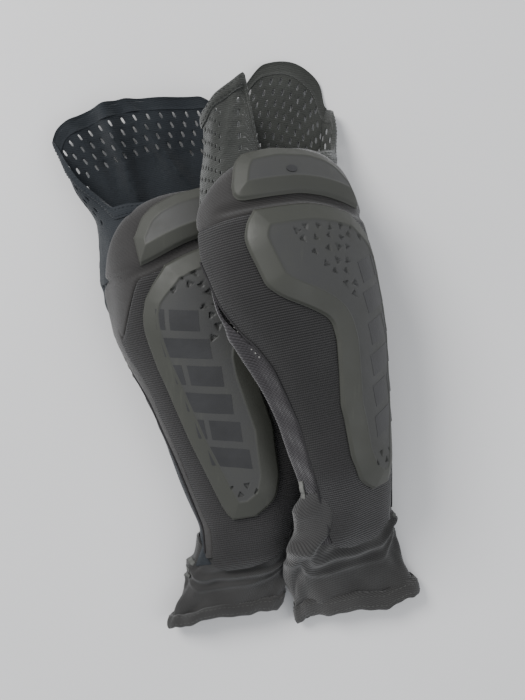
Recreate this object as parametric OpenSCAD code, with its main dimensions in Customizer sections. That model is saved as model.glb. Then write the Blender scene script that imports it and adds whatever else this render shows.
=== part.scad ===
// A pair of pull-on knee and shin guards lying on a table, the right one leaning on the left.
// A guard is laid out along its own length, from the calf hem (s = 0) to the thigh hem. Round
// the leg, an angle of 0 is its front, and positive angles are on the guard's outer side.

/* [Guard] */
// Half of the width across the knee cup
knee_half_w = 70; // [66:1:72]
// Height of the knee cup above the flat back
knee_h = 65; // [62:1:68]
// Length of the thigh sleeve above the knee
thigh_l = 124; // [116:2:126]

/* [Layers] */
// Thickness of the knitted and mesh fabrics
fabric_t = 1.6; // [1.4:0.1:1.8]
// Thickness of the impact foam
foam_t = 10; // [8:0.5:11]
// Thickness of the moulded plates
plate_t = 4; // [3.5:0.5:4.5]
// Gap left between two layers
layer_gap = 0.6; // [0.5:0.1:0.8]

/* [Plates] */
// Width of the flex gap between the thigh plate and the shin plate
flex_gap = 7; // [6:1:9]
// Distance from the calf hem to the tip of the shin plate
shin_plate_tip = 95; // [92:1:98]

/* [Hidden] */
PARTS = [
    "calf_cuff", "calf_hem", "cuff_gusset", "ankle_sleeve", "cuff_grip_print",
    "shin_plate", "shin_plate_bars", "knee_foam", "shin_foam", "pad_liner", "front_cover",
    "inner_side_foam", "outer_side_foam", "inner_side_panel", "outer_side_panel",
    "inner_piping", "outer_piping", "inner_tag", "outer_tag", "back_panel",
    "flex_gusset", "knee_crease_panel",
    "thigh_plate", "thigh_plate_badge", "thigh_foam", "thigh_cover", "thigh_sleeve",
    "thigh_hem", "thigh_gripper"
];

LEFT = 0;
RIGHT = 1;

// Knee hinge and cuff hinge: distance along the guard and height above its back
knee_hinge_s = 290;
knee_hinge_z = 22;
cuff_hinge_s = 44;
cuff_hinge_z = 6;
KNEE_FLEX = [56, 28];
cuff_bend = 16;

knee_s = 270;
pad_end_s = 55;
side_panel_s = 62;
guard_len = knee_hinge_s + thigh_l;
hem_h = 13;

// Shape of a guard: [s, half width, top, widest level]. Widths are shares of knee_half_w and
// heights are shares of knee_h.
SHAPE = [
    [0, 0.63, 0.37, 0.17], [14, 0.63, 0.37, 0.17], [40, 0.61, 0.40, 0.18], [56, 0.60, 0.48, 0.20],
    [70, 0.53, 0.60, 0.23], [85, 0.54, 0.68, 0.25], [110, 0.66, 0.74, 0.26],
    [150, 0.73, 0.82, 0.28], [200, 0.87, 0.92, 0.29], [240, 0.98, 0.98, 0.31],
    [270, 1.00, 1.00, 0.31], [296, 0.96, 0.95, 0.31], [320, 0.89, 0.85, 0.31],
    [340, 0.83, 0.75, 0.31], [370, 0.80, 0.68, 0.31], [414, 0.86, 0.65, 0.32]
];
front_round = 0.92;
back_round = 0.6;
// The front is moulded as far round as this angle, and behind it the back lies on what is under it
side_angle = 105;

// How each guard lies, for the left one and the right one: roll about its length, sideways
// shift and slip along its length, each as [s, value]
ROLL = [
    [[0, 0], [110, -8], [157, -6], [200, -2], [270, 4], [414, 0]],
    [[0, -2], [40, 14], [70, 42], [110, 54], [150, 54], [220, 48], [270, 41], [330, 38],
     [370, 35], [414, 26]]
];
SHIFT = [
    [[0, -40], [60, -19], [90, -6], [110, -3], [200, -7], [240, -10], [270, -8], [330, -16],
     [414, -44]],
    [[0, -3], [50, -5], [70, -4], [110, -5], [200, -8], [240, -12], [270, -13], [330, -10],
     [370, 0], [414, 18]]
];
SLIP = [[[0, 20], [60, 0], [270, -5], [414, -6]], [[0, 0], [414, 0]]];
MOUTH_FLARE = [0.3, 0];
TURN = [11, 12];
KNEE_AT = [[-19.8, 50.1], [31.2, 65.1]];

// Half outlines of the shin plate and the front cover: [s, angle]
PLATE_INNER = [
    [95, -2], [108, -22], [116, -34], [122, -37], [157, -35], [178, -28], [200, -21],
    [212, -19], [217, -22], [224, -34], [231, -45], [240, -51], [275, -52], [285, -48], [292, -42]
];
PLATE_OUTER = [
    [95, 2], [98, 6], [106, 12], [117, 19], [157, 32], [190, 36], [222, 39], [262, 40],
    [275, 38], [284, 32], [292, 22]
];
COVER_INNER = [[55, -4], [60, -34], [70, -66], [85, -80], [110, -86], [190, -92], [225, -100], [300, -104]];
COVER_OUTER = [[55, 4], [60, 26], [70, 44], [85, 52], [110, 54], [190, 64], [225, 80], [300, 96]];
// Top edge of the thigh plate and the places of its ends
THIGH_PLATE_TOP = [
    [-57, 312], [-52, 324], [-44, 330], [-20, 332], [0, 330], [15, 325], [25, 318], [34, 304]
];
thigh_plate_in = -57;
thigh_plate_out = 34;

foam_out = -fabric_t - layer_gap;
foam_in = foam_out - foam_t;
cuff_out = foam_out - 1;
cuff_in = cuff_out - fabric_t;
plate_in = layer_gap;
plate_out = plate_in + plate_t;

function signed_power(x, e) = sign(x) * pow(abs(x), e);
function smooth(t) = let (k = min(max(t, 0), 1)) k * k * (3 - 2 * k);
function wrap(u) = u > 180 ? u - 360 : u <= -180 ? u + 360 : u;
function column(s, k) = lookup(s, [for (r = SHAPE) [r[0], r[k]]]);
function out_sign(g) = g == LEFT ? -1 : 1;

function half_width(g, s) =
    knee_half_w * column(s, 1) * (1 + MOUTH_FLARE[g] * min(max((s - 330) / 84, 0), 1));

// The moulded front, in the guard's own frame as [x, z]; w is the angle to the right
function bare_front(g, w, s) =
    let (
        a = half_width(g, s),
        mid = knee_h * column(s, 3),
        depth = abs(w) <= 90 ? knee_h * column(s, 2) - mid : mid,
        e = abs(w) <= 90 ? front_round : back_round,
        x = a * signed_power(sin(w), e),
        z = mid + depth * signed_power(cos(w), e),
        r = lookup(s, ROLL[g])
    )
    [x * cos(r) + z * sin(r), z * cos(r) - x * sin(r)];

// Height that seats each section of the right guard on the table
SEAT = [
    for (g = [LEFT, RIGHT]) [
        for (s = [0 : 5 : 420])
            [s, g == LEFT ? 0 : 0.5 - min([for (w = [-side_angle : 3 : side_angle]) bare_front(g, w, s)[1]])]
    ]
];

function front(g, w, s) = bare_front(g, w, s) + [lookup(s, SHIFT[g]), lookup(s, SEAT[g])];

function to_table(g, x, y) =
    [x * cos(TURN[g]) - y * sin(TURN[g]), x * sin(TURN[g]) + y * cos(TURN[g])] + KNEE_AT[g];
function from_table(g, p) =
    let (d = p - KNEE_AT[g])
    [d[0] * cos(TURN[g]) + d[1] * sin(TURN[g]), d[1] * cos(TURN[g]) - d[0] * sin(TURN[g])];

// Height of what lies under a point of the guard: the table, or the left guard
function under(g, x, s) =
    g == LEFT ? lookup(s, [[370, 0], [414, 8]]) : over_left_guard(to_table(RIGHT, x, s - knee_s));
function over_left_guard(p) =
    let (
        q = from_table(LEFT, p),
        y = q[1] + knee_s,
        s = y - lookup(y, SLIP[LEFT]),
        a = half_width(LEFT, s) + 5,
        x = abs(q[0] - lookup(s, SHIFT[LEFT])),
        mid = knee_h * column(s, 3),
        top = knee_h * column(s, 2),
        rise = pow(1 - pow(min(1, x / a), 2 / front_round), front_round / 2),
        dome = mid + (top - mid) * rise + 2.5 + 6 * rise
    )
    max(0.5, x < a ? dome : (mid + 2.5) * (1 - smooth((x - a) / 14)));

// A point of the guard's skin in the shared frame
function skin(g, w, s) =
    let (v = wrap(w), p = abs(v) <= side_angle ? front(g, v, s) : back(g, v, s))
    concat(to_table(g, p[0], s + lookup(s, SLIP[g]) - knee_s), p[1]);

function back(g, w, s) =
    let (
        r = front(g, side_angle, s),
        l = front(g, -side_angle, s),
        t = ((w < 0 ? w + 360 : w) - side_angle) / (360 - 2 * side_angle),
        x = r[0] + (l[0] - r[0]) * t
    )
    [x, max(g == LEFT ? 0 : 0.5,
            under(g, x, s) + (r[1] - under(g, r[0], s)) * pow(1 - t, 8)
                + (l[1] - under(g, l[0], s)) * pow(t, 8))];

function skin_normal(g, w, s) =
    let (n = cross(skin(g, w + 1, s) - skin(g, w - 1, s), skin(g, w, s + 2) - skin(g, w, s - 2)))
    n / norm(n);

function off_skin(g, w, s, offset) = skin(g, w, s) + offset * skin_normal(g, w, s);

function quad(a, b, c, d) = [[a, b, c], [a, c, d]];
function flat(list) = [for (group = list) each group];

// A closed sheet between two offsets of the skin. map(p, q) gives [angle, s] for p across and
// q along the sheet, each from 0 to 1.
module panel(g, map, inner, outer, across, along) {
    row = across + 1;
    n = row * (along + 1);
    points = [
        for (k = [inner, outer]) for (i = [0 : along]) for (j = [0 : across])
            let (
                p = g == LEFT ? 1 - j / across : j / across,
                us = map(p, i / along)
            )
            off_skin(g, out_sign(g) * us[0], us[1], k)
    ];
    sheets = flat([
        for (i = [0 : along - 1]) for (j = [0 : across - 1])
            let (a = i * row + j, b = a + n) concat(
                quad(a, a + row, a + row + 1, a + 1),
                quad(b, b + 1, b + row + 1, b + row)
            )
    ]);
    ends = flat([
        for (j = [0 : across - 1])
            let (a = j, b = along * row + j) concat(
                quad(a, a + 1, a + 1 + n, a + n),
                quad(b + 1, b, b + n, b + 1 + n)
            )
    ]);
    sides = flat([
        for (i = [0 : along - 1])
            let (a = i * row, b = a + across) concat(
                quad(a + row, a, a + n, a + row + n),
                quad(b, b + row, b + row + n, b + n)
            )
    ]);
    polyhedron(points, concat(sheets, ends, sides));
}

// A closed sleeve right round the leg, from lo(u) to hi(u) along it
module sleeve(g, lo, hi, inner, outer, around, along) {
    n = around * (along + 1);
    points = [
        for (k = [inner, outer]) for (i = [0 : along]) for (j = [0 : around - 1])
            let (
                w = -180 + 360 * j / around,
                u = wrap(out_sign(g) * w),
                s = lo(u) + (hi(u) - lo(u)) * i / along
            )
            off_skin(g, w, s, k)
    ];
    walls = flat([
        for (j = [0 : around - 1]) for (i = [0 : along - 1])
            let (a = i * around + j, b = i * around + (j + 1) % around) concat(
                quad(a, a + around, b + around, b),
                quad(a + n, b + n, b + around + n, a + around + n)
            )
    ]);
    rims = flat([
        for (j = [0 : around - 1])
            let (a = j, b = (j + 1) % around, top = along * around) concat(
                quad(a, b, b + n, a + n),
                quad(top + b, top + a, top + a + n, top + b + n)
            )
    ]);
    polyhedron(points, concat(walls, rims));
}

// Line of the flex gap round the leg: it drops towards the outer side
function gap_s(u) =
    let (v = wrap(u))
    abs(v) <= 90 ? 295.5 - 13 * smooth((v + 15) / 55)
                 : 282.5 + 13 * smooth(((v < 0 ? v + 360 : v) - 90) / 180);

// Room for the knee to close behind its hinge, and for the cuff to close in front of its own
knee_axis = [
    for (g = [LEFT, RIGHT])
        let (r = lookup(knee_hinge_s, ROLL[g]))
        [lookup(knee_hinge_s, SHIFT[g]), lookup(knee_hinge_s, SEAT[g])] + knee_hinge_z * [sin(r), cos(r)]
];
function behind_knee(g, u) =
    let (
        r = lookup(knee_hinge_s, ROLL[g]),
        p = skin(g, out_sign(g) * u, gap_s(u)),
        q = from_table(g, [p[0], p[1]])
    )
    -([q[0], p[2]] - knee_axis[g]) * [sin(r), cos(r)];
function knee_wedge(g, u) = flex_gap / 2 + max(0, behind_knee(g, u)) * tan(KNEE_FLEX[g] / 2);
function cuff_wedge(g, u) =
    1.6 + max(0, skin(g, out_sign(g) * u, cuff_hinge_s)[2] - cuff_hinge_z) * tan(0.6 * cuff_bend);
function shin_top(g, u) = gap_s(u) - knee_wedge(g, u);
function thigh_foot(g, u) = gap_s(u) + knee_wedge(g, u);

function pad_top(u) = guard_len - 79 - (u > 0 ? 52 : 24) * pow(u / 90, 2);
function rim(u) =
    let (t = sin(u), low = guard_len - 68, high = guard_len - 8 * t - 24 * t * t)
    low + (high - low) * smooth((abs(u) - 50) / 90);

// Strip between two angles, from s0 to s1(u)
function strip(u0, u1, s0, s1) =
    function (p, q) let (u = u0 + (u1 - u0) * p) [u, s0 + (s1(u) - s0) * q];
function patch(u0, u1, s0, s1) =
    function (p, q) [u0 + (u1 - u0) * p, s0 + (s1 - s0) * q];

// Calf cuff: the elastic knit tube round the lower leg
module calf_cuff(g) {
    color([0.17, 0.17, 0.17])
        sleeve(g, function (u) 1, function (u) cuff_hinge_s - cuff_wedge(g, u),
               cuff_in, cuff_out, 24, 3);
}

// Folded hem round the bottom of the calf cuff
module calf_hem(g) {
    color([0.13, 0.13, 0.13])
        sleeve(g, function (u) 0, function (u) hem_h, -fabric_t, 0, 24, 1);
}

// Stretch knit across the cuff hinge
module cuff_gusset(g) {
    color([0.15, 0.15, 0.15])
        sleeve(g, function (u) cuff_hinge_s - cuff_wedge(g, u) + 0.6,
               function (u) cuff_hinge_s + cuff_wedge(g, u) - 0.6,
               cuff_in, cuff_out, 24, 1);
}

// Knit tube from the cuff hinge up to the end of the pad
module ankle_sleeve(g) {
    color([0.15, 0.15, 0.16])
        sleeve(g, function (u) cuff_hinge_s + cuff_wedge(g, u),
               function (u) (abs(u) < 50 ? pad_end_s : side_panel_s) - 0.6,
               cuff_in, cuff_out, 24, 1);
}

// Raised rubber grip bars printed on the outer side of the ankle
module cuff_grip_print(g) {
    bars = 3;
    pitch = 3.4;
    color([0.24, 0.25, 0.24])
        for (i = [0 : bars - 1])
            panel(g, patch(62, 92, 50.4 + pitch * i, 52.6 + pitch * i), cuff_out + 0.6,
                  cuff_out + 1.6, 4, 1);
}

function plate_strip(s0, s1) =
    function (p, q)
        let (s = s0 + (s1 - s0) * q)
        [lookup(s, PLATE_INNER) * (1 - p) + lookup(s, PLATE_OUTER) * p, s];

// Knee and shin plate: wide over the knee cap and narrow down the shin
module shin_plate(g) {
    s0 = shin_plate_tip;
    color([0.26, 0.27, 0.25])
        panel(g,
              function (p, q)
                  let (us = plate_strip(s0, 292)(p, q))
                  [us[0], s0 + (gap_s(us[0]) - flex_gap / 2 - s0) * (us[1] - s0) / (292 - s0)],
              plate_in, plate_out, 12, 26);
}

// Slanted bars raised along the outer side of the shin plate
module shin_plate_bars(g) {
    bars = 6;
    pitch = 22;
    color([0.16, 0.16, 0.16])
        for (i = [0 : bars - 1])
            let (s0 = 134 + pitch * i, near = -8 + 2 * i, far = 18 + 2 * i)
                panel(g, function (p, q) [near + (far - near) * p, s0 + 12 * q + 6 * p],
                      plate_out + 0.2, plate_out + 0.8, 4, 1);
}

// Impact foam behind the knee part of the plate
module knee_foam(g) {
    color([0.10, 0.10, 0.11])
        panel(g, strip(-80, 58, 206, function (u) gap_s(u) - 5), foam_in, foam_out, 10, 6);
}

// Impact foam behind the shin part of the plate
module shin_foam(g) {
    color([0.10, 0.10, 0.11])
        panel(g, patch(-58, 38, 88, 203), foam_in, foam_out, 8, 8);
}

// Lining between the foam and the leg
module pad_liner(g) {
    color([0.12, 0.12, 0.13])
        panel(g, strip(-56, 38, 96, function (u) gap_s(u) - 6),
              foam_in - 3 * layer_gap - 1.2, foam_in - 3 * layer_gap, 8, 10);
}

// Abrasion-resistant ribbed knit over the foam
module front_cover(g) {
    reach = 300;
    color([0.19, 0.19, 0.19])
        panel(g,
              function (p, q)
                  let (
                      s = pad_end_s + (reach - pad_end_s) * q,
                      u = lookup(s, COVER_INNER) * (1 - p) + lookup(s, COVER_OUTER) * p,
                      top = min(gap_s(u) - flex_gap / 2, shin_top(g, u))
                  )
                  [u, pad_end_s + (top - pad_end_s) * q],
              -fabric_t, 0, 14, 16);
}

// Foam bolsters at the sides of the knee
module side_foam(g, u0, u1) {
    color([0.10, 0.10, 0.11])
        panel(g, patch(u0, u1, 168, 262), foam_out - 6, foam_out, 3, 6);
}

// Twill side panels between the front cover and the back panel; side is -1 or 1
module side_panel(g, side) {
    edge = side < 0 ? COVER_INNER : COVER_OUTER;
    color([0.21, 0.20, 0.21])
        panel(g,
              function (p, q)
                  let (
                      far = side * 150,
                      reach = side_panel_s + (300 - side_panel_s) * q,
                      near = lookup(reach, edge) + side * 3,
                      u = side < 0 ? far + (near - far) * p : near + (far - near) * p
                  )
                  [u, side_panel_s + (shin_top(g, u) - side_panel_s) * q],
              -fabric_t, 0, 8, 14);
}

// Corded piping along the edge of the front cover
module piping(g, side) {
    edge = side < 0 ? COVER_INNER : COVER_OUTER;
    color([0.09, 0.09, 0.10])
        panel(g,
              function (p, q)
                  let (s = 78 + (262 - 78) * q, near = lookup(s, edge) + side * (side < 0 ? 2.8 : 0.4))
                  [near + 2.4 * p, s],
              layer_gap, layer_gap + 1.4, 1, 12);
}

// Soft rubber tags on the side panels
module tag(g, u0, u1, s0, s1) {
    color([0.34, 0.34, 0.32])
        panel(g, patch(u0, u1, s0, s1), 2 * layer_gap, 2 * layer_gap + 1.2, 2, 3);
}

// Mesh panel behind the calf. The left one lies flat on the table.
module back_panel(g) {
    s0 = 88;
    s1 = knee_hinge_s - 30;
    color([0.12, 0.13, 0.15])
        if (g == LEFT) flat_back(s0, s1);
        else panel(g, patch(156, 204, s0, s1), -fabric_t, 0, 6, 12);
}

module flat_back(s0, s1) {
    count = 8;
    edge_share = 0.36;
    function edge(side, i) =
        let (
            s = s0 + (s1 - s0) * i / count,
            x = side * edge_share * half_width(LEFT, s) + lookup(s, SHIFT[LEFT])
        )
        to_table(LEFT, x, s + lookup(s, SLIP[LEFT]) - knee_s);
    linear_extrude(fabric_t)
        polygon(concat([for (i = [0 : count]) edge(1, i)], [for (i = [count : -1 : 0]) edge(-1, i)]));
}

// Thin stretch strip across the flex gap at the front
module flex_gusset(g) {
    color([0.15, 0.15, 0.15])
        panel(g,
              function (p, q)
                  let (u = -84 + 152 * p, half = flex_gap / 2 - 0.4)
                  [u, gap_s(u) + half * (2 * q - 1)],
              -fabric_t - 1, -1, 12, 1);
}

// Mesh behind the knee, which folds as the guard bends
module knee_crease_panel(g) {
    color([0.12, 0.13, 0.15])
        panel(g,
              function (p, q)
                  let (u = 100 + 160 * p, half = knee_wedge(g, u) - 0.8)
                  [u, gap_s(u) + half * (2 * q - 1)],
              -fabric_t, 0, 14, 3);
}

// Moulded plate above the knee
module thigh_plate(g) {
    color([0.28, 0.29, 0.27])
        panel(g,
              function (p, q)
                  let (
                      u = thigh_plate_in + (thigh_plate_out - thigh_plate_in) * p,
                      lo = gap_s(u) + flex_gap / 2
                  )
                  [u, lo + (lookup(u, THIGH_PLATE_TOP) - lo) * q],
              plate_in, plate_out, 14, 4);
}

// Small raised oval on the thigh plate
module thigh_plate_badge(g) {
    color([0.20, 0.20, 0.20])
        panel(g, patch(-18, -10, 311, 316), plate_out + 0.2, plate_out + 0.9, 2, 1);
}

// Impact foam behind the thigh plate
module thigh_foam(g) {
    color([0.10, 0.10, 0.11])
        panel(g,
              function (p, q)
                  let (u = -60 + 92 * p, lo = gap_s(u) + 5)
                  [u, lo + (pad_top(u) - 12 - lo) * q],
              foam_in + 3, foam_out, 8, 3);
}

// Fine knit over the thigh foam and the sides of the knee
module thigh_cover(g) {
    color([0.20, 0.19, 0.19])
        panel(g,
              function (p, q)
                  let (u = -92 + 164 * p, lo = thigh_foot(g, u))
                  [u, lo + (max(lo + 3, pad_top(u)) - lo) * q],
              -fabric_t, 0, 16, 4);
}

// Perforated thigh sleeve: low at the front and high at the back, open to the leg
module thigh_sleeve(g) {
    foot = function (u)
        u > -98 && u < 76 ? max(thigh_foot(g, u) + 5, pad_top(u) - 9) : thigh_foot(g, u);
    color([0.13, 0.14, 0.16])
        sleeve(g, foot, function (u) rim(u) - 1,
               2 * foam_out, foam_out - layer_gap, 32, 6);
}

// Folded hem round the mouth of the thigh sleeve
module thigh_hem(g) {
    color([0.17, 0.18, 0.18])
        sleeve(g, function (u) rim(u) - 9, function (u) rim(u), -fabric_t, 0, 32, 1);
}

// Silicone band inside the mouth, which grips the thigh
module thigh_gripper(g) {
    color([0.08, 0.08, 0.08])
        sleeve(g, function (u) rim(u) - 8, function (u) rim(u) - 2,
               2 * foam_out - layer_gap - 1, 2 * foam_out - layer_gap, 32, 1);
}

module guard_part(g, part) {
    if (part == "calf_cuff") calf_cuff(g);
    if (part == "calf_hem") calf_hem(g);
    if (part == "cuff_gusset") cuff_gusset(g);
    if (part == "ankle_sleeve") ankle_sleeve(g);
    if (part == "cuff_grip_print") cuff_grip_print(g);
    if (part == "shin_plate") shin_plate(g);
    if (part == "shin_plate_bars") shin_plate_bars(g);
    if (part == "knee_foam") knee_foam(g);
    if (part == "shin_foam") shin_foam(g);
    if (part == "pad_liner") pad_liner(g);
    if (part == "front_cover") front_cover(g);
    if (part == "inner_side_foam") side_foam(g, -103, -84);
    if (part == "outer_side_foam") side_foam(g, 62, 100);
    if (part == "inner_side_panel") side_panel(g, -1);
    if (part == "outer_side_panel") side_panel(g, 1);
    if (part == "inner_piping") piping(g, -1);
    if (part == "outer_piping") piping(g, 1);
    if (part == "inner_tag") tag(g, -102, -94, 90, 112);
    if (part == "outer_tag") tag(g, 84, 92, 204, 224);
    if (part == "back_panel") back_panel(g);
    if (part == "flex_gusset") flex_gusset(g);
    if (part == "knee_crease_panel") knee_crease_panel(g);
    if (part == "thigh_plate") thigh_plate(g);
    if (part == "thigh_plate_badge") thigh_plate_badge(g);
    if (part == "thigh_foam") thigh_foam(g);
    if (part == "thigh_cover") thigh_cover(g);
    if (part == "thigh_sleeve") thigh_sleeve(g);
    if (part == "thigh_hem") thigh_hem(g);
    if (part == "thigh_gripper") thigh_gripper(g);
}

for (part = PARTS) {
    guard_part(LEFT, part);
    guard_part(RIGHT, part);
}
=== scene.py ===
import math

import bpy
import numpy as np
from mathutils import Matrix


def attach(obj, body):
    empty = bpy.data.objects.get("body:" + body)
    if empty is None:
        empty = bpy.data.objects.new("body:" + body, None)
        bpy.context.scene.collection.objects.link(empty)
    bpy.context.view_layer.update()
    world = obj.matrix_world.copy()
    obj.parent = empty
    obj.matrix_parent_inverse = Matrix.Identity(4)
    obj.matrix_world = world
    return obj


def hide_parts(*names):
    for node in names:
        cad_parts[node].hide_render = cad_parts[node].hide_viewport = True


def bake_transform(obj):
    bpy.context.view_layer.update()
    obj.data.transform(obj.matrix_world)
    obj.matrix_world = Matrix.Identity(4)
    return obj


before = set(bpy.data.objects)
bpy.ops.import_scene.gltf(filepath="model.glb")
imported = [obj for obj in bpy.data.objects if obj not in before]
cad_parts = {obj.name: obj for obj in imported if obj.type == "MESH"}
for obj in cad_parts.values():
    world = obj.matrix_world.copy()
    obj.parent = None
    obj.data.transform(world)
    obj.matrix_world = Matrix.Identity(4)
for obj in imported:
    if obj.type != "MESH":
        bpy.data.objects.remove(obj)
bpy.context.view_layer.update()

# A guard is laid out as in the CAD source: u is an angle round the leg, 0 at the front and
# positive on the outer side, and s is a distance in mm from the calf hem. Lengths are in mm until
# a mesh is made.
MM = 0.001
LEFT, RIGHT = 0, 1
SIDES = ("left", "right")
OUT_SIGN = (-1, 1)
KNEE_HALF_W = 70.0
KNEE_H = 65.0
KNEE_S = 270.0
GUARD_LEN = 414.0
PAD_END = 55.0
FLEX_GAP = 7.0
SIDE_ANGLE = 105.0
FRONT_ROUND = 0.92
BACK_ROUND = 0.6
HEM_H = 13.0
RIM_H = 9.0

# [s, half width, top, widest level] as shares of KNEE_HALF_W and KNEE_H
SHAPE = np.array([
    [0, 0.63, 0.37, 0.17], [14, 0.63, 0.37, 0.17], [40, 0.61, 0.40, 0.18], [56, 0.60, 0.48, 0.20],
    [70, 0.53, 0.60, 0.23], [85, 0.54, 0.68, 0.25], [110, 0.66, 0.74, 0.26],
    [150, 0.73, 0.82, 0.28], [200, 0.87, 0.92, 0.29], [240, 0.98, 0.98, 0.31],
    [270, 1.00, 1.00, 0.31], [296, 0.96, 0.95, 0.31], [320, 0.89, 0.85, 0.31],
    [340, 0.83, 0.75, 0.31], [370, 0.80, 0.68, 0.31], [414, 0.86, 0.65, 0.32],
])
ROLL = [
    [[0, 0], [110, -8], [157, -6], [200, -2], [270, 4], [414, 0]],
    [[0, -2], [40, 14], [70, 42], [110, 54], [150, 54], [220, 48], [270, 41], [330, 38],
     [370, 35], [414, 26]],
]
SHIFT = [
    [[0, -40], [60, -19], [90, -6], [110, -3], [200, -7], [240, -10], [270, -8], [330, -16],
     [414, -44]],
    [[0, -3], [50, -5], [70, -4], [110, -5], [200, -8], [240, -12], [270, -13], [330, -10],
     [370, 2], [414, 24]],
]
SLIP = [[[0, 20], [60, 0], [270, -5], [414, -6]], [[0, 0], [414, 0]]]
MOUTH_FLARE = (0.13, 0.08)
TURN = (math.radians(11), math.radians(12))
KNEE_AT = ((-19.8, 50.1), (31.2, 65.1))

PLATE_INNER = [
    [95, -9], [100, -22], [106, -30], [122, -36], [157, -36], [178, -29], [200, -23],
    [212, -22], [217, -25], [224, -34], [233, -47], [242, -54], [275, -55], [285, -51], [292, -44],
]
PLATE_OUTER = [
    [95, 8], [98, 13], [106, 17], [117, 20], [157, 29], [190, 34], [222, 38], [262, 39],
    [275, 36], [284, 29], [292, 18],
]
COVER_INNER = [
    [55, -4], [60, -34], [70, -60], [85, -74], [110, -79], [190, -81], [205, -86], [235, -102],
    [300, -104],
]
COVER_OUTER = [[55, 4], [60, 26], [70, 44], [85, 52], [110, 54], [190, 64], [225, 80], [300, 96]]
# Outer edge of the ribbed knit; fine knit goes on from there to the cover's edge
RIB_OUTER = [
    [55, 4], [60, 22], [70, 32], [82, 36], [102, 43], [129, 48], [160, 49], [198, 53], [239, 66],
    [300, 68],
]
THIGH_PLATE_TOP = [
    [-57, 312], [-52, 324], [-44, 330], [-20, 332], [0, 330], [15, 325], [25, 318], [34, 304],
]


# ---------------------------------------------------------------- the skin of a guard
def look(s, rows, k=1, soft=5.0):
    """Value of a [place, value] table, with its corners rounded over soft."""
    rows = np.asarray(rows, float)
    steps = (-soft, -soft / 2, 0, soft / 2, soft)
    return sum(np.interp(np.asarray(s, float) + d, rows[:, 0], rows[:, k]) for d in steps) / 5


def smooth(t):
    """0 up to t = 0, 1 from t = 1, and a soft step between them."""
    t = np.clip(t, 0, 1)
    return t * t * (3 - 2 * t)


def hump(x, at, width):
    """A bell of height 1."""
    return np.exp(-((x - at) / width) ** 2)


def signed_power(x, e):
    return np.sign(x) * np.abs(x) ** e


def half_width(g, s):
    """Half the guard's width at s, with the mouth opened out above the knee."""
    flare = 1 + MOUTH_FLARE[g] * np.clip((s - 330) / 84, 0, 1)
    return KNEE_HALF_W * look(s, SHAPE, 1) * flare


def bare_front(g, w, s):
    a = half_width(g, s)
    mid = KNEE_H * look(s, SHAPE, 3)
    forward = np.abs(w) <= 90
    depth = np.where(forward, KNEE_H * look(s, SHAPE, 2) - mid, mid)
    e = np.where(forward, FRONT_ROUND, BACK_ROUND)
    x = a * signed_power(np.sin(np.radians(w)), e)
    z = mid + depth * signed_power(np.cos(np.radians(w)), e)
    r = np.radians(look(s, ROLL[g]))
    return x * np.cos(r) + z * np.sin(r), z * np.cos(r) - x * np.sin(r)


def seat_table():
    """Height that seats each section of the right guard on the table."""
    w = np.arange(-SIDE_ANGLE, SIDE_ANGLE + 1, 3)
    return [[s, 0.5 - bare_front(RIGHT, w, s + 0 * w)[1].min()] for s in np.arange(0, 421, 5.0)]


SEAT = [[[0, 0], [GUARD_LEN, 0]], seat_table()]


def front(g, w, s):
    x, z = bare_front(g, w, s)
    return x + look(s, SHIFT[g]), z + look(s, SEAT[g])


def to_table(g, x, y):
    c, n = math.cos(TURN[g]), math.sin(TURN[g])
    return x * c - y * n + KNEE_AT[g][0], x * n + y * c + KNEE_AT[g][1]


def from_table(g, x, y):
    c, n = math.cos(TURN[g]), math.sin(TURN[g])
    dx, dy = x - KNEE_AT[g][0], y - KNEE_AT[g][1]
    return dx * c + dy * n, dy * c - dx * n


def over_left_guard(x, y):
    """Height of the left guard's dome over the table, which the right guard's back lies on."""
    qx, qy = from_table(LEFT, x, y)
    y = qy + KNEE_S
    s = y - look(y, SLIP[LEFT])
    a = half_width(LEFT, s) + 5
    x = np.abs(qx - look(s, SHIFT[LEFT]))
    mid = KNEE_H * look(s, SHAPE, 3)
    top = KNEE_H * look(s, SHAPE, 2)
    rise = (1 - np.minimum(1, x / a) ** (2 / FRONT_ROUND)) ** (FRONT_ROUND / 2)
    dome = mid + (top - mid) * rise + 2.5 + 6 * rise
    return np.maximum(0.5, np.where(x < a, dome, (mid + 2.5) * (1 - smooth((x - a) / 14))))


def under(g, x, s):
    if g == LEFT:
        return look(s, [[370, 0], [GUARD_LEN, 8]])
    return over_left_guard(*to_table(RIGHT, x, s - KNEE_S))


def skin(g, w, s):
    """A point of the guard's skin; w is the angle to the right, seen from above."""
    w, s = np.broadcast_arrays(np.asarray(w, float), np.asarray(s, float))
    w = (w + 180) % 360 - 180
    x, z = front(g, np.clip(w, -SIDE_ANGLE, SIDE_ANGLE), s)
    rx, rz = front(g, SIDE_ANGLE + 0 * s, s)
    lx, lz = front(g, -SIDE_ANGLE + 0 * s, s)
    t = np.clip((np.where(w < 0, w + 360, w) - SIDE_ANGLE) / (360 - 2 * SIDE_ANGLE), 0, 1)
    bx = rx + (lx - rx) * t
    bz = under(g, bx, s) + (rz - under(g, rx, s)) * (1 - t) ** 8 + (lz - under(g, lx, s)) * t ** 8
    behind = np.abs(w) > SIDE_ANGLE
    x = np.where(behind, bx, x)
    z = np.where(behind, np.maximum(0.0 if g == LEFT else 0.5, bz), z)
    tx, ty = to_table(g, x, s + look(s, SLIP[g]) - KNEE_S)
    return np.stack([tx, ty, z], -1)


def off_skin(g, u, s, offset):
    """The skin at angle u, moved outwards by offset."""
    w = OUT_SIGN[g] * np.asarray(u, float)
    across = skin(g, w + 1.5, s) - skin(g, w - 1.5, s)
    along = skin(g, w, s + 2) - skin(g, w, s - 2)
    n = np.cross(across, along)
    n /= np.linalg.norm(n, axis=-1, keepdims=True)
    return skin(g, w, s) + np.asarray(offset, float)[..., None] * n


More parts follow.
